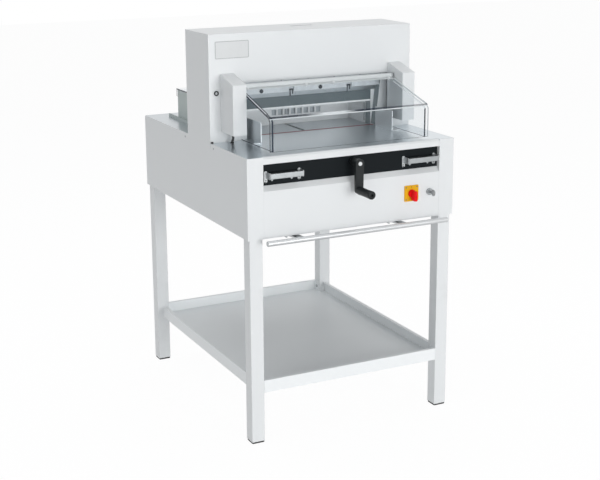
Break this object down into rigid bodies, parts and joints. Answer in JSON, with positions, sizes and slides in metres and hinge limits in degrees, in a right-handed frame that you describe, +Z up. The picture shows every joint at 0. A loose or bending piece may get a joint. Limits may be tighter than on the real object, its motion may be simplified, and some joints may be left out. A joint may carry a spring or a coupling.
{
  "type": "electric paper cutter",
  "caption": "Free-standing electric paper cutter on a tubular stand, with slanted blade drive, clamp, crank-driven back gauge, hinged clear guards and a shelf tray.",
  "frame": {"origin": "on the floor under the middle of the machine's outline", "axes": "+Z up, +X to the operator's right, +Y from the operator towards the rear table"},
  "size_m": [0.752, 1.027, 1.293],
  "materials": {
    "white_paint": "satin powder coat",
    "tray_paint": "satin powder coat",
    "plated_steel": "bright nickel plate",
    "zinc_steel": "zinc plate",
    "dark_steel": "oiled",
    "blade_steel": "ground",
    "frame_iron": "painted casting",
    "black_panel": "matt",
    "black_plastic": "fine grain",
    "column_plastic": "fine grain",
    "plate_print": "smooth, bare",
    "chrome": "polished",
    "rail_aluminium": "anodised",
    "motor_aluminium": "cast",
    "clear_sheet": "clear",
    "stick_plastic": "smooth",
    "yellow_plastic": "semi gloss",
    "red_plastic": "semi gloss",
    "foot_rubber": "matt",
    "cable_rubber": "matt",
    "brass": "turned"
  },
  "bodies": {
    "machine": {"legs": "white_paint", "foot_pads": "foot_rubber", "shelf_tray": "tray_paint", "fixing_screws": "zinc_steel", "base_plate": "zinc_steel", "side_panel_left": "white_paint", "side_panel_right": "white_paint", "front_panel": "white_paint", "front_rail": "white_paint", "control_strip": "black_panel", "rear_panel": "white_paint", "mains_inlet": "black_plastic", "front_table": "plated_steel", "rear_table": "plated_steel", "cutting_stick": "stick_plastic", "side_lays": "plated_steel", "side_frames": "frame_iron", "bed_beam": "frame_iron", "top_beam": "frame_iron", "blade_guides": "dark_steel", "housing_front_cover": "white_paint", "housing_top_cover": "white_paint", "housing_rear_cover": "white_paint", "blank_plate": "plate_print", "column_left": "column_plastic", "column_right": "column_plastic", "column_lead": "cable_rubber", "blade_motor": "motor_aluminium", "gearbox": "frame_iron", "control_box": "zinc_steel", "clamp_motor": "motor_aluminium", "spindle_bearings": "zinc_steel", "release_brackets": "zinc_steel", "main_switch_plate": "yellow_plastic", "key_lock": "chrome", "knee_bar_brackets": "zinc_steel", "rear_guard_plates": "zinc_steel"},
    "guard": {"guard_rail": "rail_aluminium", "guard_pane": "clear_sheet", "guard_side_panes": "clear_sheet", "guard_screws": "column_plastic"},
    "rear_lid": {"rear_guard_lid": "clear_sheet"},
    "blade_beam": {"blade_carrier": "dark_steel", "blade": "blade_steel", "blade_bolts": "zinc_steel", "pull_rod": "dark_steel"},
    "drive": {"drive_disc": "dark_steel"},
    "clamp": {"clamp_beam": "frame_iron"},
    "clamp_spindle": {"clamp_screw": "dark_steel"},
    "gauge": {"back_gauge": "rail_aluminium", "gauge_carriage": "brass"},
    "crank": {"gauge_spindle": "zinc_steel", "crank_arm": "black_plastic", "crank_screw": "column_plastic"},
    "grip": {"crank_grip": "black_plastic"},
    "left_bar": {"release_bar_left": "chrome"},
    "right_bar": {"release_bar_right": "chrome"},
    "main_switch": {"main_switch_knob": "red_plastic"},
    "lock_key": {"key": "chrome"},
    "knee_lever": {"knee_bar": "chrome"}
  },
  "joints": [
    {"name": "guard_hinge", "type": "hinge", "parent": "machine", "child": "guard", "pos_m": [0, -0.1495, 1.121], "axis": [-1, 0, 0], "range_deg": [0, 70]},
    {"name": "rear_lid_hinge", "type": "hinge", "parent": "machine", "child": "rear_lid", "pos_m": [0, 0.0945, 1.057], "axis": [1, 0, 0], "range_deg": [0, 92]},
    {"name": "blade_slide", "type": "slide", "parent": "machine", "child": "blade_beam", "axis": [-0.1122, 0, -0.9937], "range_m": [0, 0.12479]},
    {"name": "drive_turn", "type": "hinge", "parent": "machine", "child": "drive", "pos_m": [-0.292, -0.1145, 0.79], "axis": [0, 1, 0], "range_deg": [0, 180.1]},
    {"name": "clamp_slide", "type": "slide", "parent": "machine", "child": "clamp", "axis": [0, 0, -1], "range_m": [0, 0.083]},
    {"name": "clamp_screw_turn", "type": "hinge", "parent": "machine", "child": "clamp_spindle", "pos_m": [0.013, -0.03, 1.1], "axis": [0, 0, 1], "range_deg": [0, 1495]},
    {"name": "gauge_slide", "type": "slide", "parent": "machine", "child": "gauge", "axis": [0, 1, 0], "range_m": [-0.1151, 0.2991]},
    {"name": "crank_turn", "type": "hinge", "parent": "machine", "child": "crank", "pos_m": [0, -0.4285, 0.897], "axis": [0, -1, 0], "range_deg": [-4140, 10764]},
    {"name": "grip_spin", "type": "hinge", "parent": "crank", "child": "grip", "pos_m": [0, -0.4745, 0.81], "axis": [0, 1, 0], "continuous": true},
    {"name": "left_bar_hinge", "type": "hinge", "parent": "machine", "child": "left_bar", "pos_m": [-0.2435, -0.3955, 0.8805], "axis": [-1, 0, 0], "range_deg": [0, 10], "stiffness_Nm_per_rad": 0.5, "springref_deg": -11.46},
    {"name": "right_bar_hinge", "type": "hinge", "parent": "machine", "child": "right_bar", "pos_m": [0.2525, -0.3955, 0.8805], "axis": [-1, 0, 0], "range_deg": [0, 10], "stiffness_Nm_per_rad": 0.5, "springref_deg": -11.46},
    {"name": "main_switch_turn", "type": "hinge", "parent": "machine", "child": "main_switch", "pos_m": [0.213, -0.4085, 0.771], "axis": [0, 1, 0], "range_deg": [0, 90]},
    {"name": "key_turn", "type": "hinge", "parent": "machine", "child": "lock_key", "pos_m": [0.283, -0.4085, 0.769], "axis": [0, 1, 0], "range_deg": [0, 90]},
    {"name": "knee_lever_hinge", "type": "hinge", "parent": "machine", "child": "knee_lever", "pos_m": [0, -0.3385, 0.671], "axis": [1, 0, 0], "range_deg": [0, 12], "stiffness_Nm_per_rad": 20, "springref_deg": -8.59}
  ],
  "couplings": [
    {"joint": "drive_turn", "follows": "blade_slide", "rad_per_m": 25.175},
    {"joint": "clamp_screw_turn", "follows": "clamp_slide", "rad_per_m": 314.16},
    {"joint": "gauge_slide", "follows": "crank_turn", "m_per_rad": 0.0015915}
  ]
}
